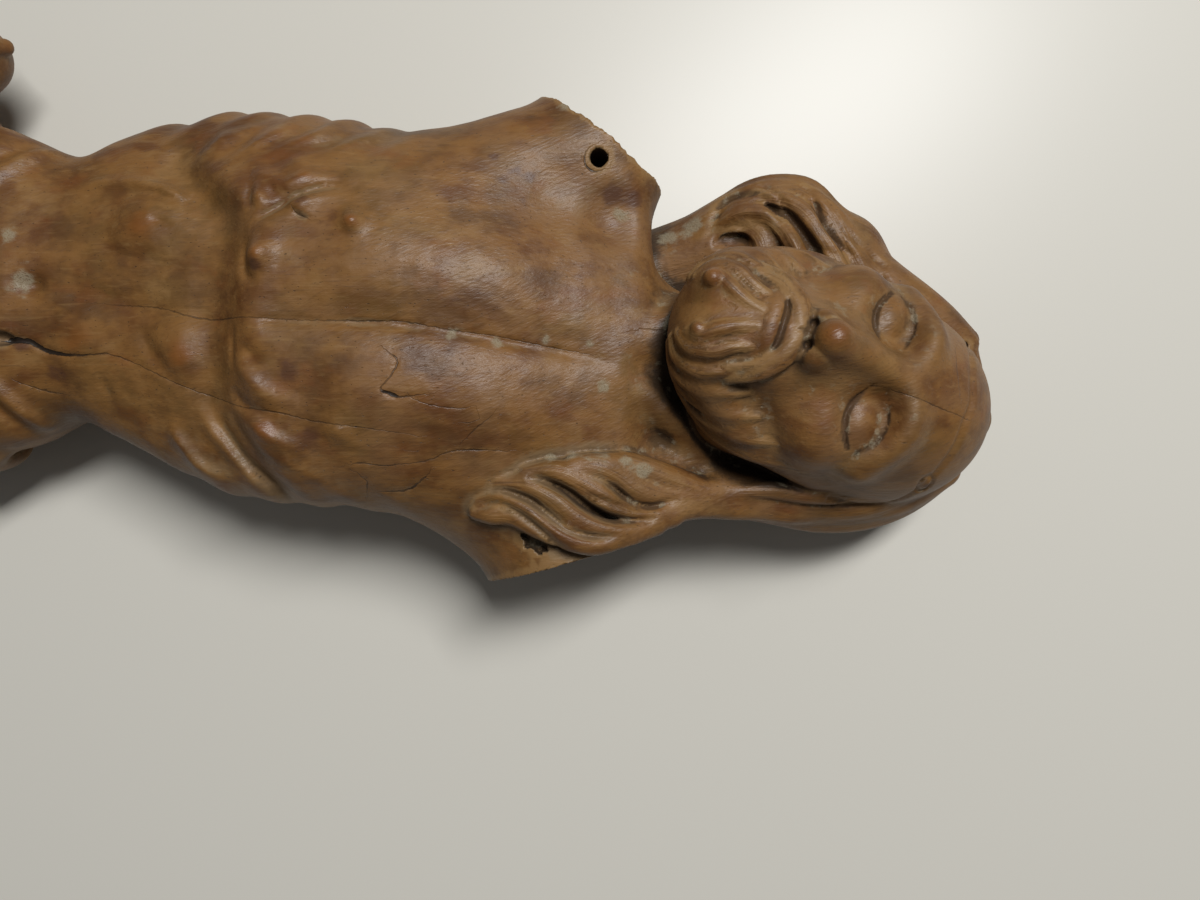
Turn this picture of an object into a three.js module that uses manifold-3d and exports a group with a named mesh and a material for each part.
// Crucifix corpus figure, carved in one piece of wood, without its arms.
// Millimetres. It lies on its back: +X towards the crown, +Y towards the figure's right side, +Z up.
// z = 0 is the plane that the flat spots of its back rest on.
// The origin lies in that plane, below the middle of the figure's outline.
import * as THREE from "three";
import { mergeVertices } from "three/addons/utils/BufferGeometryUtils.js";
import Module from "manifold-3d";

// Driving dimensions
const FIGURE_LENGTH = 450; // crown to toes
const PIN_HOLE_DIAMETER = 3.6; // pins that locked the arms
const PIN_HOLE_DEPTH = 14; // right shoulder, where the pin is gone
const BROKEN_PIN_DEPTH = 2.4; // left shoulder, where the pin broke off below the surface
const NAIL_HOLE_DIAMETER = 3.2; // through both feet
const CARVING_STEP = 1.5; // spacing of the lattice that the carving is sampled on
const FACE_COUNT = 9600; // triangles of the finished figure
const WOOD_COLOUR = 0x9c6a3a;
const WOOD_ROUGHNESS = 0.5;

// The free form below is carved on a figure of this length and follows FIGURE_LENGTH as a share of it
const CARVED_LENGTH = 450;
const SHARE = FIGURE_LENGTH / CARVED_LENGTH;

// Small tools for fields: a field is negative inside the wood and grows in millimetres outwards
const clamp = (value, low, high) => Math.min(high, Math.max(low, value));

function rise(low, high, value) {
  const t = clamp((value - low) / (high - low), 0, 1);
  return t * t * (3 - 2 * t);
}

const bell = (value, width) => Math.exp(-((value / width) ** 2));
const bump = (x, y, x0, y0, sx, sy) => Math.exp(-(((x - x0) / sx) ** 2) - ((y - y0) / sy) ** 2);

// Soft union and soft cut of two fields, blended over a width
function join(a, b, width) {
  const h = Math.max(width - Math.abs(a - b), 0) / width;
  return Math.min(a, b) - (h * h * width) / 4;
}

const cut = (a, b, width) => -join(-a, b, width);

function ellipsoid(x, y, z, cx, cy, cz, rx, ry, rz) {
  const px = (x - cx) / rx;
  const py = (y - cy) / ry;
  const pz = (z - cz) / rz;
  const k = Math.hypot(px, py, pz);
  const g = Math.hypot(px / rx, py / ry, pz / rz);
  return g < 1e-9 ? -Math.min(rx, ry, rz) : (k * (k - 1)) / g;
}

// A rounded bar between two points with a radius at each end
function bar(x, y, z, a, b, ra, rb) {
  const dx = b[0] - a[0];
  const dy = b[1] - a[1];
  const dz = b[2] - a[2];
  const px = x - a[0];
  const py = y - a[1];
  const pz = z - a[2];
  const t = clamp((px * dx + py * dy + pz * dz) / (dx * dx + dy * dy + dz * dz), 0, 1);
  return Math.hypot(px - t * dx, py - t * dy, pz - t * dz) - ra - t * (rb - ra);
}

// A curve through knots, sampled finely: rows of coordinates
function through(knots, steps) {
  const rows = [];
  const last = knots.length - 1;
  for (let i = 0; i < last; i++) {
    const p = [knots[Math.max(i - 1, 0)], knots[i], knots[i + 1], knots[Math.min(i + 2, last)]];
    for (let s = 0; s < steps; s++) {
      const t = s / steps;
      rows.push(
        p[1].map(
          (v, k) =>
            0.5 *
            (2 * v +
              (p[2][k] - p[0][k]) * t +
              (2 * p[0][k] - 5 * v + 4 * p[2][k] - p[3][k]) * t * t +
              (3 * v - p[0][k] - 3 * p[2][k] + p[3][k]) * t * t * t),
        ),
      );
    }
  }
  rows.push(knots[last]);
  return rows;
}

// Values along X, looked up between stations: each station is [x, values...]
function along(stations) {
  const rows = through(stations, 8);
  return (x, column) => {
    let low = 0;
    let high = rows.length - 1;
    if (x <= rows[0][0]) return rows[0][column];
    if (x >= rows[high][0]) return rows[high][column];
    while (high - low > 1) {
      const middle = (low + high) >> 1;
      if (rows[middle][0] > x) high = middle;
      else low = middle;
    }
    const t = (x - rows[low][0]) / (rows[high][0] - rows[low][0]);
    return rows[low][column] + t * (rows[high][column] - rows[low][column]);
  };
}

const BOX_MARGIN = 5; // air kept round a strand inside its box

// A tapering strand through knots [x, y, z, radius], with the box that it stays in
function strand(knots, blend) {
  const rows = through(knots, 4);
  const reach = Math.max(...knots.map((k) => k[3])) + blend + BOX_MARGIN;
  const low = [0, 1, 2].map((i) => Math.min(...rows.map((r) => r[i])) - reach);
  const high = [0, 1, 2].map((i) => Math.max(...rows.map((r) => r[i])) + reach);
  return { rows, blend, low, high };
}

function strandField(s, x, y, z) {
  let best = 1e9;
  for (let i = 0; i + 1 < s.rows.length; i++) {
    best = Math.min(best, bar(x, y, z, s.rows[i], s.rows[i + 1], s.rows[i][3], s.rows[i + 1][3]));
  }
  return best;
}

const inBox = (s, x, y, z) =>
  x > s.low[0] && x < s.high[0] && y > s.low[1] && y < s.high[1] && z > s.low[2] && z < s.high[2];

function withStrands(field, list, x, y, z) {
  let value = field;
  for (const s of list) {
    if (inBox(s, x, y, z)) value = join(value, strandField(s, x, y, z), s.blend);
  }
  return value;
}

// A raised or sunk line over the plan through knots [x, y, height, width], with the box that it stays in
function stroke(knots) {
  const rows = through(knots, 4);
  const reach = 2.6 * Math.max(...rows.map((r) => r[3]));
  const low = [0, 1].map((i) => Math.min(...rows.map((r) => r[i])) - reach);
  const high = [0, 1].map((i) => Math.max(...rows.map((r) => r[i])) + reach);
  return { rows, low, high };
}

// Relief of strokes: each one's height at its nearest place, times a bell of the distance over its width
function strokeRelief(list, x, y) {
  let total = 0;
  for (const s of list) {
    if (x < s.low[0] || x > s.high[0] || y < s.low[1] || y > s.high[1]) continue;
    let best = 1e9;
    let height = 0;
    let width = 1;
    for (let i = 0; i + 1 < s.rows.length; i++) {
      const [ax, ay, ah, aw] = s.rows[i];
      const [bx, by, bh, bw] = s.rows[i + 1];
      const dx = bx - ax;
      const dy = by - ay;
      const t = clamp(((x - ax) * dx + (y - ay) * dy) / (dx * dx + dy * dy), 0, 1);
      const gap = Math.hypot(x - ax - t * dx, y - ay - t * dy);
      if (gap >= best) continue;
      best = gap;
      height = ah + t * (bh - ah);
      width = aw + t * (bw - aw);
    }
    total += height * bell(best, width);
  }
  return total;
}

// Trunk: [x, middle y, half width, height of the widest line, front height, back height]
const TRUNK = along([
  [-30, 5, 20, 17, 26, 6],
  [-20, 4.5, 28, 17, 30, 3],
  [-8, 4, 31.5, 18, 32.5, 0.5],
  [5, 3.5, 33, 18, 34, -1],
  [20, 2.8, 33, 19, 34.5, -0.8],
  [34.6, 1.6, 31.3, 20, 35, 2],
  [41.5, 1, 29.2, 20.5, 35, 4],
  [50.8, 1.4, 25.4, 21, 35, 5.5],
  [58.8, 1.7, 28.4, 21.5, 35.6, 5.5],
  [66, 1.2, 31.3, 22, 36.6, 4.6],
  [73.5, -0.3, 33.8, 22, 37.8, 3.6],
  [81, -1, 36.2, 22, 39.8, 2.4],
  [88.5, -2, 36.6, 22, 44, 1.2],
  [96.2, -2.8, 36.7, 22, 46.6, 0.2],
  [104, -3.4, 36.2, 22, 47.4, -0.6],
  [111.5, -4.8, 35.5, 22, 47.4, -1],
  [120, -6.2, 34.6, 22, 46.6, -1.2],
  [130, -8, 33.4, 22, 45, -1],
  [140, -9.6, 31.4, 22, 42.6, 0],
  [150, -11.4, 27, 22, 39.6, 3],
  [158, -13, 19, 22, 35.6, 7],
  [166, -14, 12, 22, 32, 11],
]);
const TRUNK_END = 166;
const TRUNK_START = -30;
const ROUNDNESS = 2.35; // exponent of the trunk's section

// Middle line of the front: breastbone and belly
const MIDLINE = along([
  [-30, 4.2],
  [20, 2.6],
  [48.7, -0.1],
  [70, -4.2],
  [90.3, -7],
  [117.4, -8.3],
  [139.8, -11.7],
  [155.8, -14.4],
]);

// Lower edge of the rib cage: y, x
const COSTAL_EDGE = along([
  [-38, 97.5], [-34.7, 94.7], [-31.6, 91.8], [-27.8, 89.3], [-24, 87.2], [-17.6, 87.4], [-11.6, 87.5],
  [-5.7, 88], [0.2, 88.8], [4.4, 90], [8.4, 89.4], [12.3, 86.9], [15.4, 83.3], [19.6, 79.8], [25.6, 77.5],
]);

const RIB_SPACING = 8.6;
const RIB_SLANT = 0.75;

// Ribs, creases and muscle edges of the front: x, y, height, width
const FRONT_STROKES = [
  // ribs of the left flank, and the grooves between them
  stroke([[73.2, -24.5, 0, 1.4], [74.9, -28.2, 0.8, 1.5], [78.6, -33.1, 0.8, 1.6], [85.2, -36.2, 0, 1.6]]),
  stroke([[79, -21, 0, 1.5], [81.5, -26, 1, 1.6], [87.9, -33.3, 0.9, 1.7], [91.6, -37.4, 0, 1.6]]),
  stroke([[88, -25.5, 0, 1.5], [91, -29, 0.8, 1.5], [95, -33, 0.8, 1.7], [101, -36.8, 0, 1.8]]),
  stroke([[88.7, -12.9, 0, 1.4], [90.6, -16.8, 0.8, 1.5], [95.2, -20.8, 0.6, 1.7], [99.9, -21.3, 0, 1.7]]),
  stroke([[89.5, -23.4, 0, 1.4], [92.4, -26.2, 0.7, 1.5], [96.4, -28.2, 0.5, 1.6], [101.5, -29.6, 0, 1.6]]),
  stroke([[88.7, -11.7, 0, 1.2], [91.4, -13.2, -0.6, 1.2], [93.9, -15.7, 0, 1.4]]),
  stroke([[87.6, -18.5, 0, 1], [88.3, -20.4, -0.7, 1.1], [91, -22.4, -0.6, 1.2], [96, -23.8, 0, 1.4]]),
  stroke([
    [86.2, -22.5, 0, 1.1], [88.5, -27.2, -0.9, 1.2], [92.3, -30.9, -0.9, 1.3], [98, -34.5, -0.5, 1.4],
    [102, -37, 0, 1.4],
  ]),
  stroke([[83, -24, 0, 1.2], [86, -29.5, -0.7, 1.3], [90.5, -34.5, -0.7, 1.3], [94, -37.5, 0, 1.3]]),
  stroke([[87.8, -6.5, 0, 0.8], [87.4, -11.6, -0.6, 0.8], [87.6, -16, 0, 0.8]]),
  // ribs of the right flank, and the grooves between them
  stroke([[82, 24.5, 0, 1.8], [82, 27, 0.4, 1.8], [81.3, 31, 0, 1.8]]),
  stroke([[86.4, 19.6, 0, 1.8], [89.8, 23, 0.45, 1.9], [94, 26, 0.45, 2], [98.8, 28.8, 0, 2]]),
  stroke([[94.6, 18.6, 0, 2], [98.5, 22.2, 0.45, 2], [104, 25.7, 0.45, 2.1], [112, 27.4, 0, 2.2]]),
  stroke([[109.5, 19.6, 0, 2.2], [114, 21.6, 0.4, 2.4], [120, 24.4, 0.35, 2.6], [129, 25.2, 0, 2.6]]),
  stroke([[84.2, 20.4, 0, 1.8], [86.6, 25.2, -0.45, 1.9], [90.4, 28, -0.4, 1.9], [95, 29.6, 0, 1.9]]),
  stroke([[91.2, 19.4, 0, 1.9], [95, 22.4, -0.45, 1.9], [99.5, 25, -0.45, 2], [104, 27.8, 0, 2]]),
  stroke([[98.6, 19.4, 0, 2], [103, 21.6, -0.4, 2.1], [109, 24, -0.4, 2.2], [116, 25.4, 0, 2.2]]),
  // knots of muscle on the right side of the chest
  stroke([
    [89.8, 17.9, 0, 1.4], [92.2, 17.6, 0.8, 1.5], [96.5, 15.4, 0.7, 1.5], [99.4, 16.6, 0.9, 1.6],
    [103.4, 18.8, 0, 1.8],
  ]),
  stroke([[97, 13.6, 0, 1.4], [99.4, 11.6, 0.9, 1.5], [101.6, 12.6, 0.7, 1.5], [106.5, 14, 0, 1.6]]),
  stroke([
    [91, 8.6, 0, 0.8], [94, 10.2, -0.7, 0.8], [97.6, 12.6, -0.7, 0.8], [99.9, 13.8, -0.6, 0.8],
    [105, 15.2, -0.8, 1], [109.4, 13.8, 0, 1],
  ]),
  stroke([
    [98.2, 11, 0, 0.6], [99.5, 9.9, -0.8, 0.6], [101.2, 9.3, -0.8, 0.6], [104, 9.4, -0.7, 0.9],
    [106.6, 9.6, 0, 0.9],
  ]),
  stroke([[92.6, 16.6, 0, 1.5], [92.6, 13.8, 0.9, 1.5], [93.4, 11.2, 0, 1.4]]),
  stroke([[90.6, 16.4, 0, 0.9], [90.4, 13.4, -0.7, 0.9], [91.6, 10.4, 0, 0.9]]),
  stroke([[90.6, 6.6, 0, 0.9], [89.9, 3, -0.9, 1], [90.8, -0.4, -0.6, 1], [93.6, -1.4, 0, 1]]),
  // belly
  stroke([
    [54, 17.6, 0, 1.4], [60, 18.4, 0.5, 1.4], [66, 18.4, 0.6, 1.3], [71.2, 17.6, 0.8, 1.1],
    [75, 16, 0.8, 1], [77, 14.8, 0, 1],
  ]),
  stroke([[60.5, 16, 0, 1.8], [66, 16, -0.35, 1.6], [71.2, 15.4, -0.4, 1.4], [75.4, 13.2, 0, 1.2]]),
  stroke([[64.6, 3.8, 0, 1.8], [62.4, 7.4, -0.3, 2], [62.8, 11.6, -0.3, 2], [65.6, 15.2, 0, 1.8]]),
  stroke([[62.4, 6.4, 0, 1.2], [66.5, 4.8, -0.35, 1.3], [71, 4.2, -0.25, 1.3], [77.5, 1.4, 0, 1.2]]),
  stroke([[70.6, 11.2, 0, 0.8], [73, 10.7, -0.4, 0.9], [75.4, 9.6, 0, 0.8]]),
  stroke([
    [69.4, -7, 0, 1.6], [70.6, -11.1, -0.5, 1.5], [73, -14.6, -0.5, 1.5], [75.5, -17, -0.4, 1.4],
    [79.5, -18.6, 0, 1.3],
  ]),
  stroke([[60.4, -15.4, 0, 0.9], [61.4, -18.7, -0.35, 1], [62.6, -22, 0, 0.9]]),
];

// Relief of the trunk in millimetres outwards, at a place with front weight 0 to 1
function trunkRelief(x, y, z, front) {
  const side = y - MIDLINE(x, 1);
  const far = Math.abs(side);
  let relief = 0;

  // breastbone valley with the chest muscles beside it
  const chest = rise(90, 98, x) * (1 - rise(146, 158, x));
  const edge = 0.4 + 0.2 * Math.sin(0.55 * x) * Math.sin(0.21 * x + 1);
  relief -= (0.8 * bell(side - 0.4, 3.4) + edge * bell(side + 0.5, 0.9)) * chest;
  relief += 0.9 * bell(far - 12, 7) * rise(100, 112, x) * (1 - rise(132, 146, x));

  // lower edge of the rib cage over the drawn-in belly
  const past = x - COSTAL_EDGE(y, 1);
  relief += (0.9 * bell(past - 4, 4) - 1.4 * bell(past + 4.4, 4.4)) * (1 - rise(24, 36, far));

  // belly muscles, middle line and navel
  relief += 1.6 * bump(x, y, 69.6, 10.6, 6.5, 6.5);
  relief += 1.5 * bump(x, y, 76.6, -12.4, 5.6, 6.4);
  relief += 0.7 * bump(x, y, 57, -10, 6, 8);
  relief += 0.8 * bump(x, y, 38, 1.5, 8, 12);
  relief -= 0.5 * bell(side, 2.2) * rise(50, 58, x) * (1 - rise(80, 88, x));
  relief -= 1.2 * bump(x, y, 48.7, 0, 2.4, 1.8);

  // groin lines running down and in from the hip bones
  const groin = x - 44 + 0.95 * (26 - far);
  const groinReach = rise(8, 16, far) * (1 - rise(28, 34, far));
  relief += (0.8 * bell(groin - 2.6, 2.4) - 0.8 * bell(groin + 1.6, 2.2)) * groinReach;

  // knob on the chest's right side and the nipples
  relief += 1.7 * bump(x, y, 92.8, 3.2, 2.3, 2.3);
  relief += 1.1 * bump(x, y, 108.9, 8.6, 2, 1.8);
  relief += 0.8 * bump(x, y, 106, -26.5, 2, 2);
  relief += strokeRelief(FRONT_STROKES, x, y);
  relief *= front;

  // ribs round the flanks, worked out by one wave
  const wave = Math.cos((2 * Math.PI * (x - 94 - RIB_SLANT * (far - 26))) / RIB_SPACING);
  const flank = rise(24, 31, far) * rise(62, 72, x) * (1 - rise(112, 124, x)) * rise(8, 18, z);
  relief += (side > 0 ? 0.4 : 0.25) * wave * flank;

  // groove of the spine and the shoulder blades on the back
  relief -= 1.4 * bell(side - 6, 3.5) * (1 - front) * (1 - rise(10, 16, z));
  relief += 1.2 * (bump(x, y, 128, 10, 14, 9) + bump(x, y, 126, -30, 14, 9)) * (1 - rise(6, 14, z));
  return relief;
}

function trunk(x, y, z) {
  const wide = TRUNK(x, 3);
  const height = z > wide ? TRUNK(x, 4) - wide : wide - TRUNK(x, 5);
  const v = (z - wide) / height;
  const lean = (MIDLINE(x, 1) - TRUNK(x, 1)) * clamp(v, 0, 1) * 0.8;
  const w = TRUNK(x, 2);
  const u = (y - TRUNK(x, 1) - lean) / w;
  const au = Math.abs(u) + 1e-6;
  const av = Math.abs(v) + 1e-6;
  const p = ROUNDNESS;
  const r = (au ** p + av ** p) ** (1 / p);
  const gu = (au / r) ** (p - 1) / w;
  const gv = (av / r) ** (p - 1) / height;
  const loft = (r - 1) / Math.hypot(gu, gv);
  const body = Math.max(loft, x - TRUNK_END, TRUNK_START - x);
  if (Math.abs(body) > 8) return body;
  return body - trunkRelief(x, y, z, rise(0.05, 0.6, v));
}

// Shoulders: the breast muscle's edge towards the arm, and the top of the shoulder
const SHOULDERS = [
  strand([[112, 12, 27, 12.5], [128, 19, 26.5, 12.2], [144, 24.4, 25, 12], [152, 27, 24, 11]], 7),
  strand([[146, -6, 25, 11], [149, 8, 24.5, 10.4], [149.6, 22, 24, 10], [151, 34, 24, 10]], 7),
  strand([[110, -24, 27, 12], [124, -32.2, 26.5, 11.6], [137, -41, 25, 11.6], [142, -50, 24, 11.6]], 7),
  strand([[147, -18, 25, 11], [146.5, -32, 24.5, 11], [145, -46, 24, 11.4], [144, -54, 24, 11.4]], 7),
  strand(
    [[117.6, -31, 23.5, 7.6], [125.2, -38.2, 23, 8], [135.8, -47.9, 22.5, 8.1], [140, -52.2, 22.5, 8.2]],
    5,
  ),
];
const COLLARBONES = [
  strand(
    [
      [155.5, -12.6, 34.4, 2.6], [156.2, -3, 33.4, 2.4], [155.6, 6, 31.4, 2.4], [154, 17, 30.6, 2.6],
    ],
    6,
  ),
  strand([[153.6, -17.6, 34.6, 2.6], [153, -26, 34, 2.4], [151, -36, 32, 2.4], [148, -47, 31, 2.6]], 4),
];
const PIT_BESIDE_NECK = [153, 12, 40.6, 6.4, 6.4, 6.4];
const PIT_OF_NECK = [158.6, -15, 38.6, 3.4, 3.6, 4.2];

function shoulders(body, x, y, z) {
  if (x < 88 || x > 176) return body;
  let value = withStrands(body, SHOULDERS, x, y, z);
  value = withStrands(value, COLLARBONES, x, y, z);
  value = cut(value, ellipsoid(x, y, z, ...PIT_BESIDE_NECK), 3);
  return cut(value, ellipsoid(x, y, z, ...PIT_OF_NECK), 3);
}

// Neck, with a tendon on each side down to the pit of the neck
const NECK = [
  strand([[150, -13, 23, 13], [162, -12.5, 22, 12], [176, -13, 23, 12.5]], 6),
  strand([[156, -13.2, 34, 2], [163, -6, 34.4, 2.6], [172, 1, 29, 3]], 3),
  strand([[155, -16.4, 34, 2], [161, -22, 34, 2.6], [168, -29, 28, 3]], 3),
];

// Head frame: right, up and front directions of the head, turned in the plane and tipped back
const HEAD_CENTRE = [193, -17.6, 27];
const HEAD_ROLL = (19 * Math.PI) / 180;
const HEAD_TIP = (8 * Math.PI) / 180;
const HEAD_TURN = (7 * Math.PI) / 180;
const HEAD_BASIS = new THREE.Matrix4()
  .makeRotationZ(-HEAD_ROLL)
  .multiply(new THREE.Matrix4().makeRotationY(HEAD_TIP))
  .multiply(new THREE.Matrix4().makeRotationX(-HEAD_TURN));
const HEAD_UP = new THREE.Vector3().setFromMatrixColumn(HEAD_BASIS, 0);
const HEAD_RIGHT = new THREE.Vector3().setFromMatrixColumn(HEAD_BASIS, 1);
const HEAD_FRONT = new THREE.Vector3().setFromMatrixColumn(HEAD_BASIS, 2);

// Curves on one half of the face, in the head frame: [right, up, front, radius]
const BROW = strand([[2.2, 4.8, 20.6, 1.8], [8.4, 6.8, 19.6, 2.2], [15.4, 4, 13.6, 2]], 5);
const UPPER_LIP = strand([[0, -17.9, 23.6, 1.2], [3, -18, 23.2, 1.2], [6.4, -19.3, 21.2, 0.7]], 1.6);
const LOWER_LIP = strand([[0, -21, 23.3, 1.4], [2.8, -20.8, 22.9, 1.4], [5.8, -19.9, 21.3, 0.7]], 1.6);
const MOUTH_LINE = strand([[0, -19.4, 24.7, 0.4], [3.2, -19.4, 24.2, 0.4], [6.8, -19.7, 22.3, 0.3]], 0.4);
const LID_LINE = strand(
  [
    [3.4, -0.9, 22.1, 0.3], [5.6, -2.4, 20.3, 0.4], [8.6, -3.2, 19.5, 0.4], [11.6, -2.6, 19.2, 0.4],
    [14, -0.8, 18, 0.3],
  ],
  0.4,
);
const LID_FOLD = strand(
  [
    [3.4, 1.4, 21.7, 0.3], [5.6, 3.3, 19.9, 0.3], [8.8, 4.1, 19.4, 0.4], [12, 3.2, 18.5, 0.3],
    [14.4, 1.1, 17.5, 0.3],
  ],
  0.4,
);
const MOUSTACHE = [
  strand(
    [
      [0.8, -16, 24.4, 0.8], [4.8, -17, 23.4, 1.2], [8.2, -20, 21.2, 1.1], [9.8, -23.6, 18.8, 0.7],
    ],
    1.2,
  ),
  strand(
    [
      [0.8, -16.8, 24.6, 0.6], [4.2, -18.2, 23.7, 0.9], [7, -21.2, 21.8, 0.9], [8, -24.4, 20.2, 0.7],
    ],
    1,
  ),
];
const JAW_BEARD = strand(
  [
    [17, 0, 4, 2.2], [16.4, -9, 7, 2.6], [14.2, -17.5, 10, 3.2], [10.2, -24.8, 13.6, 4],
    [4.4, -28.6, 16.4, 4.4],
  ],
  4,
);
// Locks of the beard on one half, from the cheek down and in to the end of its tuft
const BEARD_LOCKS = [
  strand(
    [
      [1.4, -23.3, 23.4, 0.6], [2.3, -26.1, 22.6, 1], [3.7, -28.8, 21.8, 1.2], [5.2, -31, 20.4, 1],
      [4.8, -32.6, 19, 0.7],
    ],
    0.5,
  ),
  strand(
    [
      [4.6, -23, 22.4, 0.6], [5.6, -25.7, 21.6, 1.1], [7.2, -28.4, 20.4, 1.2], [7.2, -31.6, 18.2, 1.1],
      [5, -33.6, 16.8, 0.8],
    ],
    0.5,
  ),
  strand(
    [
      [7.8, -21.8, 20, 0.6], [9, -25, 19.2, 1.2], [10, -28.8, 17.4, 1.3], [8.4, -32.2, 14.8, 1.1],
      [5.4, -33.9, 14.4, 0.8],
    ],
    0.5,
  ),
  strand(
    [
      [10.4, -19.7, 16.8, 0.6], [11.8, -23.6, 16.4, 1.2], [11.9, -28.2, 13.8, 1.3],
      [9.2, -31.6, 12, 1.2], [5.8, -33.5, 11.8, 0.8],
    ],
    0.5,
  ),
  strand(
    [
      [13.2, -16, 14.4, 0.6], [14.2, -20.8, 13.8, 1.2], [13.2, -25.8, 10.8, 1.3],
      [10.4, -29.8, 9.2, 1.2], [6.8, -32.4, 9, 0.8],
    ],
    0.5,
  ),
  strand(
    [
      [15.8, -11, 12.4, 0.6], [16.8, -17, 11.2, 1.2], [15, -23.4, 8.4, 1.3], [11.6, -27.9, 6.8, 1.2],
      [8, -30.6, 6.4, 0.8],
    ],
    0.5,
  ),
  strand(
    [
      [17.8, -4, 9.6, 0.6], [18.6, -11.8, 8.6, 1.2], [17.4, -18.8, 6.8, 1.3], [13.6, -24.8, 4.8, 1.2],
      [9.6, -28.6, 4, 0.9],
    ],
    0.5,
  ),
];
const BEARD_BOSS = [4.4, -31.6, 20.6];
const BOSS_RADII = [1.7, 1.2]; // right and left

function face(right, up, front) {
  const r = Math.abs(right);
  let f = ellipsoid(right, up, front, 0, 7, -2.5, 19.5, 23.5, 24);
  f = join(f, ellipsoid(right, up, front, 0, -8, 2.5, 17, 23, 19.5), 8);
  if (f > 14) return f - 7;
  f = join(f, ellipsoid(r, up, front, 12.2, -5.4, 13.4, 5.6, 5, 5.6), 6);
  f = join(f, ellipsoid(r, up, front, 12, -17, 3, 6, 7, 7), 6);
  f = join(f, ellipsoid(right, up, front, 0, -26, 16.4, 5.6, 5.2, 5.6), 6);
  f = join(f, ellipsoid(right, up, front, 0, -19.5, 17.4, 8.6, 7.5, 6.6), 5);
  f = withStrands(f, [BROW], r, up, front);
  f = cut(f, ellipsoid(r, up, front, 8.8, 0.4, 24.6, 6.6, 4.8, 6.2), 4);
  f = join(f, ellipsoid(r, up, front, 8.8, -0.4, 14.4, 6, 4.6, 5.9), 1.4);
  f = join(f, bar(r, up, front, [0, 3, 16], [0, -10.5, 21.6], 3.4, 4.8), 4);
  f = join(f, bar(r, up, front, [0, 4.6, 20], [0, -10.6, 26.6], 2.3, 2.5), 2.4);
  f = join(f, ellipsoid(r, up, front, 0, -11.8, 26.8, 2.8, 2.6, 2.8), 1.8);
  f = join(f, ellipsoid(r, up, front, 3.2, -12.8, 23.8, 1.9, 2.3, 2.6), 1.2);
  f = cut(f, ellipsoid(r, up, front, 1.8, -15, 24.8, 0.8, 1, 1), 0.6);
  f = withStrands(f, [UPPER_LIP, LOWER_LIP], r, up, front);
  for (const line of [MOUTH_LINE, LID_LINE, LID_FOLD]) {
    if (inBox(line, r, up, front)) f = cut(f, strandField(line, r, up, front), line.blend);
  }
  return f;
}

function beard(f, right, up, front) {
  if (f > 16 || up > 8) return f;
  const r = Math.abs(right);
  let value = withStrands(f, [JAW_BEARD], r, up, front);
  value = join(value, ellipsoid(right, up, front, 0, -26.8, 11.6, 10.6, 8, 8.4), 4);
  value = join(value, ellipsoid(r, up, front, 4.4, -28.4, 16.6, 4.6, 5, 4.6), 1.6);
  value = withStrands(value, BEARD_LOCKS, r, up, front);
  value = withStrands(value, MOUSTACHE, r, up, front);
  const [br, bu, bf] = BEARD_BOSS;
  return join(value, Math.hypot(r - br, up - bu, front - bf) - BOSS_RADII[right > 0 ? 0 : 1], 0.7);
}

// Hair: a smooth cap on the back, a raised rim round the head and long locks to the shoulders
const RIM = [
  strand(
    [
      [224, -23.4, 16, 2.6], [220, -29.8, 17, 2.8], [214.8, -35.6, 18, 3], [208.4, -39.8, 19, 3],
      [200.6, -42.2, 20, 3], [191.5, -42.4, 21.5, 3], [181.5, -40.6, 24, 2.8], [171.5, -39, 27, 2.6],
    ],
    1.2,
  ),
  strand(
    [
      [219.5, -27, 20.6, 2.2], [214, -32.6, 22.6, 2.4], [207.4, -37, 24.4, 2.4],
      [199.5, -39.8, 25.4, 2.4],
      [190, -40, 26.4, 2.4], [180, -38.4, 28.4, 2.3], [170.5, -36.6, 31.2, 2.2],
    ],
    0.8,
  ),
  strand(
    [
      [214.6, -29.4, 25, 1.5], [208.4, -34, 27.4, 1.8], [199.5, -37.2, 29, 1.9], [189.5, -37.6, 30, 1.9],
      [181, -36.8, 31.2, 1.7], [173, -37.2, 31.6, 1.2],
    ],
    0.8,
  ),
  strand(
    [
      [222.5, -23.5, 17, 3], [222.5, -16.5, 17.5, 3], [220.8, -10, 18, 3], [217.6, -5, 19, 2.8],
      [212.6, -1.2, 20, 2.6], [206, 3, 21, 2.4],
    ],
    5,
  ),
];
const LOCK_CORES = [
  strand(
    [
      [200, -31, 15, 10], [188, -32.5, 16, 9.4], [176, -33, 19, 8.2], [166, -33.5, 24, 7.2],
      [156, -35.5, 30, 6.2], [146, -36.5, 34, 5.4], [137, -38.5, 35, 4.2],
    ],
    4,
  ),
  strand(
    [
      [206, -4, 13, 9.6], [198, 5, 13.4, 9.8], [189, 9.5, 13.4, 9.8], [180, 9, 12, 9.4],
      [170, 7, 10, 8.4], [158, 4.4, 9, 7],
    ],
    4,
  ),
  strand(
    [
      [198, 9.6, 15.4, 7.8], [188, 13.4, 15.6, 7.8], [179, 14, 14.4, 7.4], [169, 11, 11.8, 6.4],
      [157, 7.4, 9.6, 5.8],
    ],
    4,
  ),
];
const CURL_HOLLOW = [175.6, 11.6, 22.6, 4.4, 3.2, 3.4];
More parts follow.
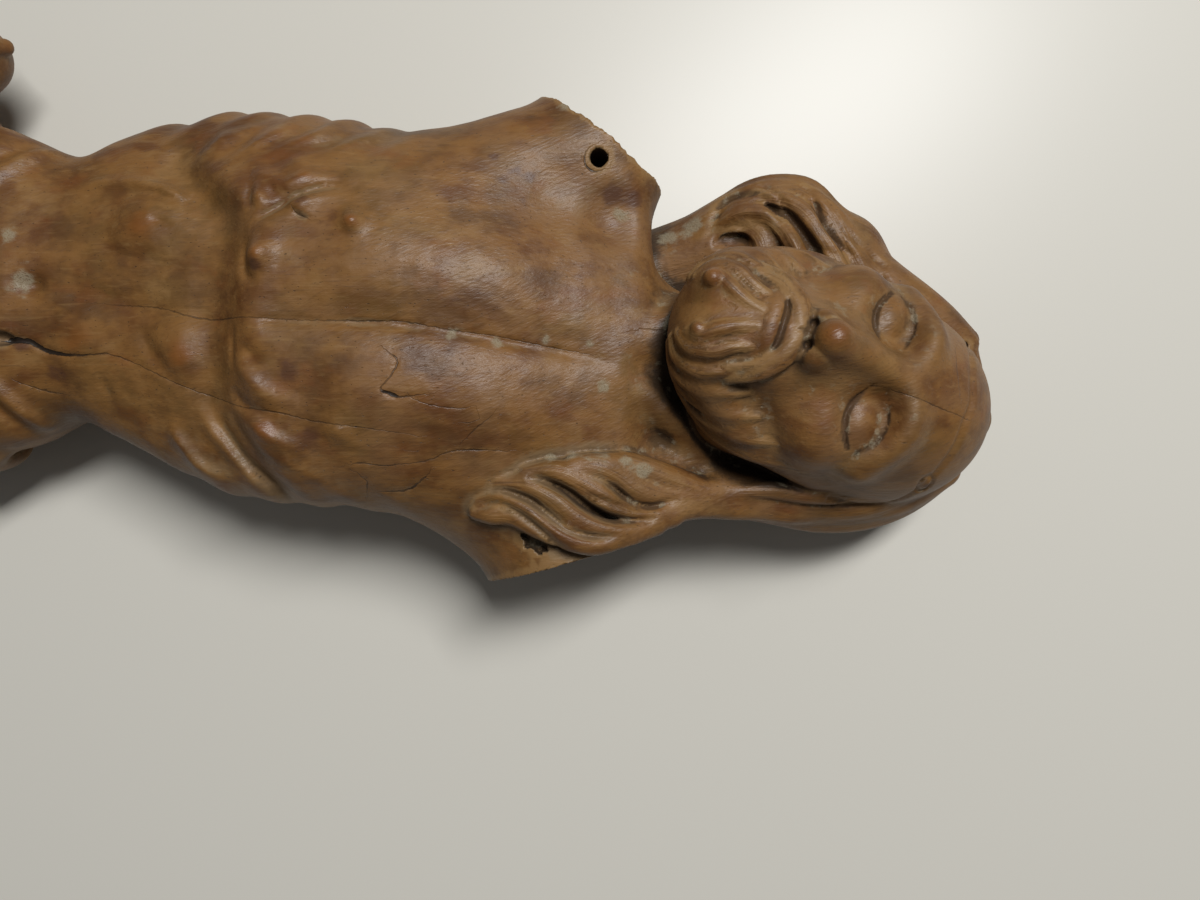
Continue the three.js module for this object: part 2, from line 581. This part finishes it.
const LEFT_LOCKS = [
  strand(
    [
      [185.4, -41.1, 26.8, 2.3], [176.7, -39.1, 29.2, 2.5], [169, -37.1, 31.7, 2.6],
      [163.4, -35.1, 33.7, 2.6],
      [158.9, -33.4, 35.5, 2.5], [154.9, -32.1, 37, 2.3], [151.7, -31.8, 38.1, 1.9],
    ],
    0.5,
  ),
  strand(
    [
      [174.7, -40.3, 29.9, 2.1], [167.1, -38.5, 32.4, 2.3], [161, -37.9, 34.6, 2.5],
      [156.5, -36.4, 36.5, 2.6],
      [153.1, -33.9, 37.6, 2.6], [149.7, -32.5, 38.7, 2.5], [145.5, -32.3, 39.2, 2],
    ],
    0.5,
  ),
  strand(
    [
      [174, -40.6, 29, 1.5], [167.1, -40.1, 32.4, 2], [159.8, -40.7, 35.2, 2.3], [154.4, -39.8, 37.2, 2.5],
      [150.3, -37.5, 38.6, 2.6],
      [146.5, -35.2, 39.1, 2.6], [142.4, -33.5, 39.5, 2.5], [137.5, -33.7, 39.2, 2],
    ],
    0.5,
  ),
  strand(
    [
      [162.9, -41.5, 33.9, 2], [157.1, -42.5, 36.3, 2.3], [151.6, -43.3, 38.2, 2.5],
      [146.4, -41.3, 39.1, 2.6],
      [141.9, -37.8, 39.5, 2.5], [137.5, -35.7, 39.2, 2.4], [133, -35.6, 38.6, 1.9],
    ],
    0.5,
  ),
  strand(
    [
      [159.8, -43, 35.2, 1.9], [153.9, -44.7, 37.4, 2.2], [148.3, -45.5, 38.9, 2.4],
      [143.1, -43.5, 39.5, 2.5],
      [138.2, -40.1, 39.3, 2.4], [133.7, -38.2, 38.7, 2.3], [129.4, -38.8, 37.8, 1.8],
    ],
    0.5,
  ),
  strand(
    [
      [155.3, -45, 36.9, 1.7], [149.7, -46.2, 38.7, 1.9], [144.1, -46.1, 39.4, 2.1],
      [139.3, -44.4, 39.4, 2.1],
      [134.7, -41.8, 38.8, 2], [131.2, -40.7, 38.2, 1.9], [128.5, -40.3, 37.6, 1.6],
    ],
    0.5,
  ),
];
const RIGHT_LOCKS = [
  strand(
    [
      [222, -8, 18, 2.4], [213, -1, 19, 2.8], [205, 4.8, 19, 3.2], [198.4, 10, 18.6, 3.4],
      [195, 15.6, 18, 3.4], [190.6, 20.4, 18, 3.4], [185, 21.4, 17.6, 3.4], [179.8, 20.6, 17, 3.2],
      [174.6, 17.8, 15, 3.2], [168.4, 14.4, 13, 3.2], [161, 12.2, 11, 3],
    ],
    1.4,
  ),
  strand(
    [
      [206, -2, 21.7, 2.3], [200.6, 4, 22.1, 2.5], [197.2, 10, 22.1, 2.7], [194, 15.4, 21.7, 2.7],
      [190, 18.6, 20.7, 2.7], [184, 20, 19.7, 2.7], [177, 18.8, 18.1, 2.6], [170, 15.4, 15.7, 2.4],
      [162, 11, 12.1, 2.1],
    ],
    1.2,
  ),
  strand(
    [
      [196, 3.4, 24.7, 2], [192.6, 9.4, 24.7, 2.1], [189.6, 14.2, 24.1, 2.2], [186.6, 17.2, 22.9, 2.2],
      [181.8, 18.6, 21.7, 2.2], [176.4, 17.8, 20.1, 2.1], [171, 15.2, 17.7, 2], [165.6, 12, 14.7, 1.7],
    ],
    1,
  ),
  strand(
    [
      [188.6, 5, 24.7, 1.8], [186.6, 9.6, 24.5, 1.9], [184.6, 13, 23.7, 1.9], [181.6, 15.6, 22.7, 1.9],
      [177, 16.2, 21.3, 1.8], [172.6, 14.4, 19.3, 1.7], [168.6, 11.4, 16.7, 1.5],
    ],
    0.8,
  ),
  strand(
    [
      [181.6, 7.4, 22.1, 1.5], [180.8, 10.8, 21.7, 1.6], [178.9, 13, 21.1, 1.6], [175.8, 13.8, 20.3, 1.6],
      [172.8, 12.6, 18.9, 1.5], [170.6, 10, 17.3, 1.3],
    ],
    0.7,
  ),
];

function head(body, x, y, z) {
  if (x < 120) return body;
  let value = withStrands(body, NECK, x, y, z);
  value = withStrands(value, LOCK_CORES, x, y, z);
  value = join(value, ellipsoid(x, y, z, 198, -16, 13, 24.6, 24, 14), 4);
  value = withStrands(value, RIM, x, y, z);
  if (x > 160 && y > 0) value = cut(value, ellipsoid(x, y, z, ...CURL_HOLLOW), 1.5);
  if (x > 150) {
    const dx = x - HEAD_CENTRE[0];
    const dy = y - HEAD_CENTRE[1];
    const dz = z - HEAD_CENTRE[2];
    const up = dx * HEAD_UP.x + dy * HEAD_UP.y + dz * HEAD_UP.z;
    const right = dx * HEAD_RIGHT.x + dy * HEAD_RIGHT.y + dz * HEAD_RIGHT.z;
    const front = dx * HEAD_FRONT.x + dy * HEAD_FRONT.y + dz * HEAD_FRONT.z;
    value = join(value, beard(face(right, up, front), right, up, front), 1);
  }
  value = withStrands(value, LEFT_LOCKS, x, y, z);
  return withStrands(value, RIGHT_LOCKS, x, y, z);
}

// Legs: thighs, knees, shins, calves and crossed feet, the right foot over the left
const RIGHT_LEG = [
  strand([[14, 20, 17, 15.5], [-30, 18, 24, 14.6], [-62, 14, 29.5, 12], [-84, 12, 31.5, 10.4]], 6),
  strand(
    [
      [-78, 12, 31.5, 10], [-96, 11.6, 28.6, 9.8], [-120, 11.6, 22.5, 9.6], [-150, 10, 19.6, 6.6],
      [-172, 8, 18.6, 5.4],
    ],
    5,
  ),
  strand([[-94, 12, 25, 7.6], [-116, 13, 17, 8.8], [-144, 11, 15, 6]], 7),
  strand([[-84, 12, 37, 5.4], [-87, 12, 36.6, 5]], 4),
  strand([[-170, 8, 18.6, 5.8], [-182, 6, 17.2, 6.2], [-196, 3.2, 14.4, 5.2], [-206, 1, 12.2, 4]], 4),
  strand([[-172, 12.4, 13, 4.6], [-188, 10.2, 11.4, 3.8], [-203, 6.2, 10.6, 3]], 3),
  strand([[-182, 1.6, 13.8, 4.6], [-196, -2, 12.2, 4], [-206, -4.4, 11, 3.2]], 3),
  strand([[-166, 9, 13.4, 5], [-172, 10, 9, 5.4]], 4),
];
const LEFT_LEG = [
  strand([[14, -12, 17, 15.5], [-30, -10, 23, 14.6], [-62, -7, 28, 12], [-84, -6, 29.5, 10.4]], 6),
  strand(
    [
      [-78, -6, 29.5, 10], [-96, -5.6, 26, 9.8], [-120, -4.4, 19, 9.4], [-150, -1.4, 13, 6.6],
      [-172, 1, 10.4, 5.4],
    ],
    5,
  ),
  strand([[-94, -6, 22, 7.6], [-116, -6, 13.4, 8.8], [-144, -3, 9.6, 6]], 7),
  strand([[-84, -6, 35, 5.4], [-87, -6, 34.6, 5]], 4),
  strand([[-170, 1, 10.6, 5.8], [-182, 3.4, 8.6, 5.6], [-196, 6.4, 6.2, 4.6], [-206, 8.8, 4.8, 3.4]], 4),
  strand([[-172, -3.4, 6.6, 4.4], [-188, -1.4, 5, 3.8], [-203, 3.2, 3.8, 3]], 3),
  strand([[-184, 8.6, 6.2, 4.4], [-198, 12.4, 4.8, 3.9], [-206, 14.6, 4.2, 3.2]], 3),
  strand([[-166, 0, 7, 4.8], [-172, -1, 4.7, 5]], 4),
];
const TOE_COUNT = 5;
const TOE_SPACING = 2.95;

// Toes of one foot, the big one first and each next one shorter.
// Root and tip are those of the big toe, and outward is the way to the little one.
function toes(root, tip, outward) {
  const list = [];
  for (let i = 0; i < TOE_COUNT; i++) {
    const y = i ? outward * (i * TOE_SPACING + 0.9) : 0;
    const radius = i ? 1.85 - 0.1 * i : 2.5;
    const back = i ? 0.4 + 1.8 * i : 0;
    const knuckle = [(root[0] + tip[0] + back) / 2, (root[1] + tip[1]) / 2 + y, (root[2] + tip[2]) / 2 + 1];
    const start = [root[0] + 0.6 * back, root[1] + 0.8 * y, root[2], radius + 0.5];
    list.push(strand([start, [...knuckle, radius], [tip[0] + back, tip[1] + y, tip[2], radius]], 0.6));
  }
  return list;
}

const RIGHT_TOES = toes([-205, -4.8, 11.2], [-220.6, -8.2, 7.6], 1);
const LEFT_TOES = toes([-205, 14.6, 4.4], [-219, 18, 2.9], -1);
const FAR_AWAY = 60; // field where no limb is near

function legs(body, x, y, z) {
  if (x > 44) return body;
  const right = withStrands(withStrands(FAR_AWAY, RIGHT_LEG, x, y, z), RIGHT_TOES, x, y, z);
  const left = withStrands(withStrands(FAR_AWAY, LEFT_LEG, x, y, z), LEFT_TOES, x, y, z);
  return join(body, join(right, left, 1.2), 6);
}

// Loincloth: a wrapped band with slanting folds, a knot on the right hip and two hanging ends
const CLOTH = { top: 31, slant: 0.07, bottom: -34, thickness: 2.6, fold: 1.5, spacing: 8.4 };
const CLOTH_FOLDS = [
  strand([[33, -29, 20, 2.6], [28, -18, 34, 3], [23, 0, 38, 3.4], [22, 18, 35, 3.2], [24, 33, 24, 3]], 2),
  strand([[26, -34, 18, 2.6], [18, -20, 35, 3], [12, 0, 38.5, 3.2], [15, 18, 36, 3], [20, 35, 23, 3]], 2),
  strand([[8, -34, 18, 2.4], [0, -20, 37, 2.8], [-6, 0, 38, 3], [2, 18, 37.5, 3], [12, 36, 22, 3]], 2),
  strand(
    [
      [-14, -28, 18, 2.4], [-22, -14, 38, 2.8], [-22, 2, 36.6, 3], [-8, 22, 38.6, 3], [6, 36, 24, 3],
    ],
    2,
  ),
];
const KNOT = [
  strand([[26, 30, 20, 4.6], [24, 36, 20, 5.6], [21, 40.6, 19.6, 6], [15, 37, 18, 5]], 2.5),
  strand([[21, 41, 19, 6], [24.6, 45.6, 18, 7], [26.4, 47.6, 17.6, 7]], 2),
  strand([[20, 38, 23, 2.2], [26, 43.5, 24.6, 2], [31, 47.5, 22.4, 1.8], [33.4, 49.4, 18.6, 1.6]], 0.9),
  strand([[19, 39, 23, 2.2], [23.4, 45.6, 24.6, 2], [27, 51.6, 22.4, 1.8], [28.4, 54.6, 18.6, 1.6]], 0.9),
  strand([[19, 41, 22, 2.6], [19.4, 50, 21.4, 3], [20.6, 58, 18.4, 3.2]], 1),
  strand([[17, 40, 21, 2.6], [14, 47, 19.6, 2.8], [13, 53, 16, 3]], 1),
  strand(
    [
      [20, 40, 17, 4.6], [8, 42, 14, 4], [-6, 42, 12, 4.4], [-20, 38, 10.6, 4.6], [-33, 36, 10, 4.2],
    ],
    1.4,
  ),
  strand(
    [
      [21, 40, 20, 4], [8, 39.6, 19, 3.6], [-6, 38.4, 17, 4], [-20, 35.6, 16, 4], [-30, 34, 15, 3.6],
    ],
    1.2,
  ),
  strand([[24, 38, 23, 3.6], [12, 38, 24, 3.4], [-2, 36.4, 22, 3.6], [-14, 33.6, 21, 3.6]], 1.2),
];

function cloth(body, x, y, z) {
  if (x > 50 || x < -60) return body;
  const far = y - 3;
  const top = CLOTH.top - CLOTH.slant * far - 3 * bell(far, 12);
  const bottom = CLOTH.bottom + 0.005 * (far - 20) ** 2 + 3 * bell(far + 2, 8);
  const wave = Math.sin((2 * Math.PI * (x - 0.42 * y + 0.16 * (z - 20))) / CLOTH.spacing);
  const band = body - CLOTH.thickness - CLOTH.fold * 0.5 * (1 + wave) * rise(-4, 10, z);
  const clipped = cut(band, Math.min(top - x, x - bottom), 2.4);
  let value = join(body, clipped, 0.6);
  value = withStrands(value, CLOTH_FOLDS, x, y, z);
  return withStrands(value, KNOT, x, y, z);
}

// The whole figure at a place in carved millimetres
function figure(x, y, z) {
  let value = trunk(x, y, z);
  value = shoulders(value, x, y, z);
  value = legs(value, x, y, z);
  value = cloth(value, x, y, z);
  return head(value, x, y, z);
}

// Lattice that the field is sampled on, in carved millimetres
const LATTICE_LOW = [-231, -69, -9];
const LATTICE_HIGH = [231, 72, 66];
const SKIP_SIZE = 6; // side of the blocks that are skipped where the surface is far

function sample(field, step) {
  const cells = Math.max(1, Math.round(SKIP_SIZE / step));
  const n = [0, 1, 2].map((i) => cells * Math.ceil((LATTICE_HIGH[i] - LATTICE_LOW[i]) / step / cells) + 1);
  const values = new Float32Array(n[0] * n[1] * n[2]);
  const reach = 1.2 * cells * step;
  const half = (cells * step) / 2;
  const fill = (i0, j0, k0, value) => {
    for (let i = i0; i < Math.min(i0 + cells, n[0]); i++) {
      for (let j = j0; j < Math.min(j0 + cells, n[1]); j++) {
        for (let k = k0; k < Math.min(k0 + cells, n[2]); k++) {
          const at = (i * n[1] + j) * n[2] + k;
          const x = LATTICE_LOW[0] + i * step;
          const y = LATTICE_LOW[1] + j * step;
          const z = LATTICE_LOW[2] + k * step;
          values[at] = value === null ? field(x, y, z) || 1e-4 : value;
        }
      }
    }
  };
  for (let i = 0; i < n[0]; i += cells) {
    for (let j = 0; j < n[1]; j += cells) {
      for (let k = 0; k < n[2]; k += cells) {
        const at = [i, j, k].map((v, axis) => LATTICE_LOW[axis] + v * step + half);
        const middle = field(...at);
        fill(i, j, k, Math.abs(middle) > reach ? Math.sign(middle) * step : null);
      }
    }
  }
  return { values, n };
}

// Keeps the one body that holds the seed and fills its hollows.
// It also fills the corners where the surface would touch itself.
function tidyLattice(lattice, seed, step) {
  const { values, n } = lattice;
  const stride = [n[1] * n[2], n[2], 1];
  const flood = (start, inside) => {
    const seen = new Uint8Array(values.length);
    const stack = [start];
    seen[start] = 1;
    while (stack.length) {
      const here = stack.pop();
      const i = Math.floor(here / stride[0]);
      const j = Math.floor((here % stride[0]) / stride[1]);
      const k = here % stride[1];
      const place = [i, j, k];
      for (let axis = 0; axis < 3; axis++) {
        for (const way of [-1, 1]) {
          if (place[axis] + way < 0 || place[axis] + way >= n[axis]) continue;
          const next = here + way * stride[axis];
          if (seen[next] || values[next] < 0 !== inside) continue;
          seen[next] = 1;
          stack.push(next);
        }
      }
    }
    return seen;
  };
  const corner = [0, 1, 2, 3, 4, 5, 6, 7].map(
    (c) => (c & 1) * stride[0] + ((c >> 1) & 1) * stride[1] + (c >> 2),
  );
  let again = true;
  while (again) {
    again = false;
    for (let i = 0; i + 1 < n[0]; i++) {
      for (let j = 0; j + 1 < n[1]; j++) {
        for (let k = 0; k + 1 < n[2]; k++) {
          const here = i * stride[0] + j * stride[1] + k;
          let count = 0;
          for (let c = 0; c < 8; c++) if (values[here + corner[c]] < 0) count++;
          if (count === 0 || count === 8) continue;
          for (let axis = 0; axis < 3; axis++) {
            const s = stride[(axis + 1) % 3];
            const t = stride[(axis + 2) % 3];
            const corners = [here, here + s, here + t, here + s + t];
            const inside = corners.map((c) => values[c] < 0);
            if (inside[0] !== inside[3] || inside[1] !== inside[2] || inside[0] === inside[1]) continue;
            const outer = inside[0] ? [corners[1], corners[2]] : [corners[0], corners[3]];
            values[values[outer[0]] < values[outer[1]] ? outer[0] : outer[1]] = -0.05 * step;
            again = true;
          }
          if (count !== 2 && count !== 6) continue;
          for (let c = 0; c < 4; c++) {
            const pair = [here + corner[c], here + corner[7 - c]];
            if (!pair.every((v) => values[v] < 0 === (count === 2))) continue;
            values[count === 2 ? here + corner[c ^ 1] : pair[0]] = -0.05 * step;
            again = true;
          }
        }
      }
    }
  }
  const place = seed.map((v, axis) => Math.round((v - LATTICE_LOW[axis]) / step));
  const body = flood(place[0] * stride[0] + place[1] * stride[1] + place[2], true);
  const air = flood(0, false);
  for (let at = 0; at < values.length; at++) {
    if (values[at] < 0 && !body[at]) values[at] = 0.05 * step;
    else if (values[at] >= 0 && !air[at]) values[at] = -0.05 * step;
  }
}

// Surface of the sampled field: one point in each cell that it crosses, joined across the crossed edges
function surface(lattice, step) {
  const { values, n } = lattice;
  const stride = [n[1] * n[2], n[2], 1];
  const pointOf = new Int32Array(values.length).fill(-1);
  const points = [];
  const faces = [];
  for (let i = 0; i + 1 < n[0]; i++) {
    for (let j = 0; j + 1 < n[1]; j++) {
      for (let k = 0; k + 1 < n[2]; k++) {
        const here = i * stride[0] + j * stride[1] + k;
        let sum = [0, 0, 0];
        let crossed = 0;
        for (let axis = 0; axis < 3; axis++) {
          const b = (axis + 1) % 3;
          const c = (axis + 2) % 3;
          for (let e = 0; e < 4; e++) {
            const from = here + (e & 1) * stride[b] + (e >> 1) * stride[c];
            const v0 = values[from];
            const v1 = values[from + stride[axis]];
            if (v0 < 0 === v1 < 0) continue;
            sum[axis] += v0 / (v0 - v1);
            sum[b] += e & 1;
            sum[c] += e >> 1;
            crossed++;
          }
        }
        if (!crossed) continue;
        pointOf[here] = points.length;
        points.push([
          LATTICE_LOW[0] + (i + sum[0] / crossed) * step,
          LATTICE_LOW[1] + (j + sum[1] / crossed) * step,
          LATTICE_LOW[2] + (k + sum[2] / crossed) * step,
        ]);
      }
    }
  }
  for (let i = 1; i + 1 < n[0]; i++) {
    for (let j = 1; j + 1 < n[1]; j++) {
      for (let k = 1; k + 1 < n[2]; k++) {
        const here = i * stride[0] + j * stride[1] + k;
        for (let axis = 0; axis < 3; axis++) {
          const inside = values[here] < 0;
          if (inside === values[here + stride[axis]] < 0) continue;
          const b = stride[(axis + 1) % 3];
          const c = stride[(axis + 2) % 3];
          const ring = [here, here - b, here - b - c, here - c].map((at) => pointOf[at]);
          if (!inside) ring.reverse();
          faces.push([ring[0], ring[1], ring[2]], [ring[0], ring[2], ring[3]]);
        }
      }
    }
  }
  return { points, faces };
}

// Fewer triangles where the surface is calm: edges are collapsed in the order of the error that this makes
function simplify(mesh, count) {
  const points = mesh.points.map((p) => [...p]);
  const faces = mesh.faces.map((f) => [...f]);
  const facesOf = points.map(() => new Set());
  const error = points.map(() => new Float64Array(10));
  const stamp = new Int32Array(points.length);
  const alive = new Uint8Array(points.length).fill(1);
  let left = faces.length;

  const normalOf = (a, b, c) => {
    const ux = b[0] - a[0];
    const uy = b[1] - a[1];
    const uz = b[2] - a[2];
    const vx = c[0] - a[0];
    const vy = c[1] - a[1];
    const vz = c[2] - a[2];
    return [uy * vz - uz * vy, uz * vx - ux * vz, ux * vy - uy * vx];
  };
  faces.forEach((f, index) => {
    const [a, b, c] = f.map((v) => points[v]);
    const normal = normalOf(a, b, c);
    const area = Math.hypot(...normal);
    const [nx, ny, nz] = normal.map((v) => v / (area || 1));
    const d = -(nx * a[0] + ny * a[1] + nz * a[2]);
    const q = [nx * nx, nx * ny, nx * nz, nx * d, ny * ny, ny * nz, ny * d, nz * nz, nz * d, d * d];
    for (const v of f) {
      facesOf[v].add(index);
      for (let i = 0; i < 10; i++) error[v][i] += q[i] * area;
    }
  });

  const errorAt = (q, p) =>
    q[0] * p[0] * p[0] +
    2 * q[1] * p[0] * p[1] +
    2 * q[2] * p[0] * p[2] +
    2 * q[3] * p[0] +
    q[4] * p[1] * p[1] +
    2 * q[5] * p[1] * p[2] +
    2 * q[6] * p[1] +
    q[7] * p[2] * p[2] +
    2 * q[8] * p[2] +
    q[9];

  const volume = (a, b, c) =>
    a[0] * (b[1] * c[2] - b[2] * c[1]) +
    a[1] * (b[2] * c[0] - b[0] * c[2]) +
    a[2] * (b[0] * c[1] - b[1] * c[0]);

  // The place with the least error for a merged point, or the best of the edge's ends and middle
  const placeFor = (a, b) => {
    const q = error[a].map((v, i) => v + error[b][i]);
    const columns = [
      [q[0], q[1], q[2]],
      [q[1], q[4], q[5]],
      [q[2], q[5], q[7]],
    ];
    const det = volume(...columns);
    const middle = points[a].map((v, i) => (v + points[b][i]) / 2);
    const options = [points[a], points[b], middle];
    const span = Math.hypot(...points[a].map((v, i) => v - points[b][i]));
    if (Math.abs(det) > 1e-6) {
      const wanted = [-q[3], -q[6], -q[8]];
      const best = columns.map((_, i) => volume(...columns.map((c, k) => (k === i ? wanted : c))) / det);
      if (Math.hypot(...best.map((v, i) => v - middle[i])) < 1.5 * span) options.push(best);
    }
    let chosen = null;
    let least = Infinity;
    for (const p of options) {
      const e = errorAt(q, p) + 1e-5 * span * span;
      if (e < least) {
        least = e;
        chosen = p;
      }
    }
    return { q, place: chosen, cost: least };
  };

  const heap = [];
  const push = (entry) => {
    let at = heap.push(entry) - 1;
    while (at > 0) {
      const parent = (at - 1) >> 1;
      if (heap[parent].cost <= entry.cost) break;
      heap[at] = heap[parent];
      at = parent;
    }
    heap[at] = entry;
  };
  const pop = () => {
    const top = heap[0];
    const entry = heap.pop();
    if (!heap.length) return top;
    let at = 0;
    for (;;) {
      let child = 2 * at + 1;
      if (child >= heap.length) break;
      if (child + 1 < heap.length && heap[child + 1].cost < heap[child].cost) child++;
      if (heap[child].cost >= entry.cost) break;
      heap[at] = heap[child];
      at = child;
    }
    heap[at] = entry;
    return top;
  };
  const neighbours = (v) => {
    const set = new Set();
    for (const f of facesOf[v]) for (const w of faces[f]) if (w !== v) set.add(w);
    return set;
  };
  const offer = (a, b) => push({ a, b, sa: stamp[a], sb: stamp[b], ...placeFor(a, b) });
  points.forEach((_, v) => {
    for (const w of neighbours(v)) if (v < w) offer(v, w);
  });

  const turns = (v, other, place) => {
    for (const f of facesOf[v]) {
      if (faces[f].includes(other)) continue;
      const before = faces[f].map((w) => points[w]);
      const after = faces[f].map((w) => (w === v ? place : points[w]));
      const n0 = normalOf(...before);
      const n1 = normalOf(...after);
      const size0 = Math.hypot(...n0);
      const size1 = Math.hypot(...n1);
      if (n0[0] * n1[0] + n0[1] * n1[1] + n0[2] * n1[2] < 0.25 * size0 * size1) return true;
      const sides = after.map((p, i) => Math.hypot(...p.map((c, k) => c - after[(i + 1) % 3][k])));
      if (size1 < 0.03 * Math.max(...sides) ** 2) return true;
    }
    return false;
  };

  while (left > count && heap.length) {
    const e = pop();
    if (!alive[e.a] || !alive[e.b] || stamp[e.a] !== e.sa || stamp[e.b] !== e.sb) continue;
    const na = neighbours(e.a);
    const nb = neighbours(e.b);
    let shared = 0;
    for (const w of na) if (nb.has(w)) shared++;
    if (shared !== 2 || na.size + nb.size < 8) continue;
    if (turns(e.a, e.b, e.place) || turns(e.b, e.a, e.place)) continue;
    points[e.a] = [...e.place];
    error[e.a] = e.q;
    alive[e.b] = 0;
    for (const f of facesOf[e.b]) {
      if (faces[f].includes(e.a)) {
        for (const w of faces[f]) if (w !== e.b) facesOf[w].delete(f);
        faces[f] = null;
        left--;
      } else {
        faces[f][faces[f].indexOf(e.b)] = e.a;
        facesOf[e.a].add(f);
      }
    }
    facesOf[e.b].clear();
    stamp[e.a]++;
    for (const w of neighbours(e.a)) offer(e.a, w);
  }
  return { points, faces: faces.filter(Boolean) };
}

// The carved form as a closed geometry at its real size
function carvedGeometry() {
  const lattice = sample(figure, CARVING_STEP);
  tidyLattice(lattice, [110, -5, 20], CARVING_STEP);
  const mesh = simplify(surface(lattice, CARVING_STEP), FACE_COUNT);
  const numberOf = new Map();
  const positions = [];
  const index = [];
  for (const face of mesh.faces) {
    for (const v of face) {
      if (!numberOf.has(v)) {
        numberOf.set(v, positions.length / 3);
        positions.push(...mesh.points[v].map((c) => c * SHARE));
      }
      index.push(numberOf.get(v));
    }
  }
  const geometry = new THREE.BufferGeometry();
  geometry.setAttribute("position", new THREE.Float32BufferAttribute(positions, 3));
  geometry.setIndex(index);
  return geometry;
}

// Joins and cuts
const wasm = await Module();
wasm.setup();

function solidOf(geometry) {
  const bare = geometry.clone();
  bare.deleteAttribute("normal");
  bare.deleteAttribute("uv");
  const merged = mergeVertices(bare);
  return new wasm.Manifold(
    new wasm.Mesh({
      numProp: 3,
      vertProperties: merged.getAttribute("position").array,
      triVerts: new Uint32Array(merged.index.array),
    }),
  );
}

function geometryOf(solid) {
  const mesh = solid.getMesh();
  const positions = [];
  for (let v = 0; v < mesh.numVert; v++) {
    positions.push(...mesh.vertProperties.subarray(v * mesh.numProp, v * mesh.numProp + 3));
  }
  const geometry = new THREE.BufferGeometry();
  geometry.setAttribute("position", new THREE.Float32BufferAttribute(positions, 3));
  geometry.setIndex([...mesh.triVerts]);
  geometry.computeVertexNormals();
  return geometry;
}

// A block that cuts away what lies beyond a point in a direction
function blockBeyond(point, direction, size) {
  const block = new THREE.BoxGeometry(size, size, size);
  block.translate(0, 0, size / 2);
  const up = new THREE.Vector3(0, 0, 1);
  const turn = new THREE.Quaternion().setFromUnitVectors(up, direction.clone().normalize());
  block.applyQuaternion(turn);
  block.translate(point.x, point.y, point.z);
  return solidOf(block);
}

// Flat joint faces of the arms: a point on each, in carved millimetres, and the way that it faces
const ARM_JOINTS = [
  { point: new THREE.Vector3(145.7, 31.1, 24), facing: new THREE.Vector3(0.6, 0.8, 0), size: 46 },
  { point: new THREE.Vector3(143.4, -49.9, 24), facing: new THREE.Vector3(0.283, -0.959, 0), size: 46 },
];
const PINS = [
  { place: new THREE.Vector3(149.5, 22, 0), depth: PIN_HOLE_DEPTH },
  { place: new THREE.Vector3(138.6, -45.4, 0), depth: BROKEN_PIN_DEPTH },
];
const SHOULDER_FRONT = 37.4; // height of the shoulders' front at the pins
const ABOVE = 10; // how far a cutter reaches past the surface that it enters
const FOOT_NAIL = new THREE.Vector3(-200, 4.4, 0);
const HOLE_SIDES = 20;
const OUTLINE_MIDDLE = new THREE.Vector3(1.9, 3.5, 0); // middle of the figure's outline from the front

function hole(centre, diameter, bottom, top) {
  const geometry = new THREE.CylinderGeometry(diameter / 2, diameter / 2, top - bottom, HOLE_SIDES);
  geometry.rotateX(Math.PI / 2);
  geometry.translate(centre.x * SHARE, centre.y * SHARE, (top + bottom) / 2);
  return solidOf(geometry);
}

function corpus() {
  let solid = solidOf(carvedGeometry());
  for (const joint of ARM_JOINTS) {
    const point = joint.point.clone().multiplyScalar(SHARE);
    solid = solid.subtract(blockBeyond(point, joint.facing, joint.size * SHARE));
  }
  const floor = new THREE.Vector3(0, 0, 0);
  solid = solid.subtract(blockBeyond(floor, new THREE.Vector3(0, 0, -1), 2 * FIGURE_LENGTH));
  const front = SHOULDER_FRONT * SHARE;
  for (const pin of PINS) {
    solid = solid.subtract(hole(pin.place, PIN_HOLE_DIAMETER, front - pin.depth, front + ABOVE));
  }
  return solid.subtract(hole(FOOT_NAIL, NAIL_HOLE_DIAMETER, -ABOVE, front));
}

const wood = new THREE.MeshStandardMaterial({ color: WOOD_COLOUR, roughness: WOOD_ROUGHNESS });
const figureMesh = new THREE.Mesh(geometryOf(corpus()), wood);
figureMesh.name = "corpus";
figureMesh.position.copy(OUTLINE_MIDDLE).multiplyScalar(-SHARE);

const part = new THREE.Group();
part.add(figureMesh);
export default part;
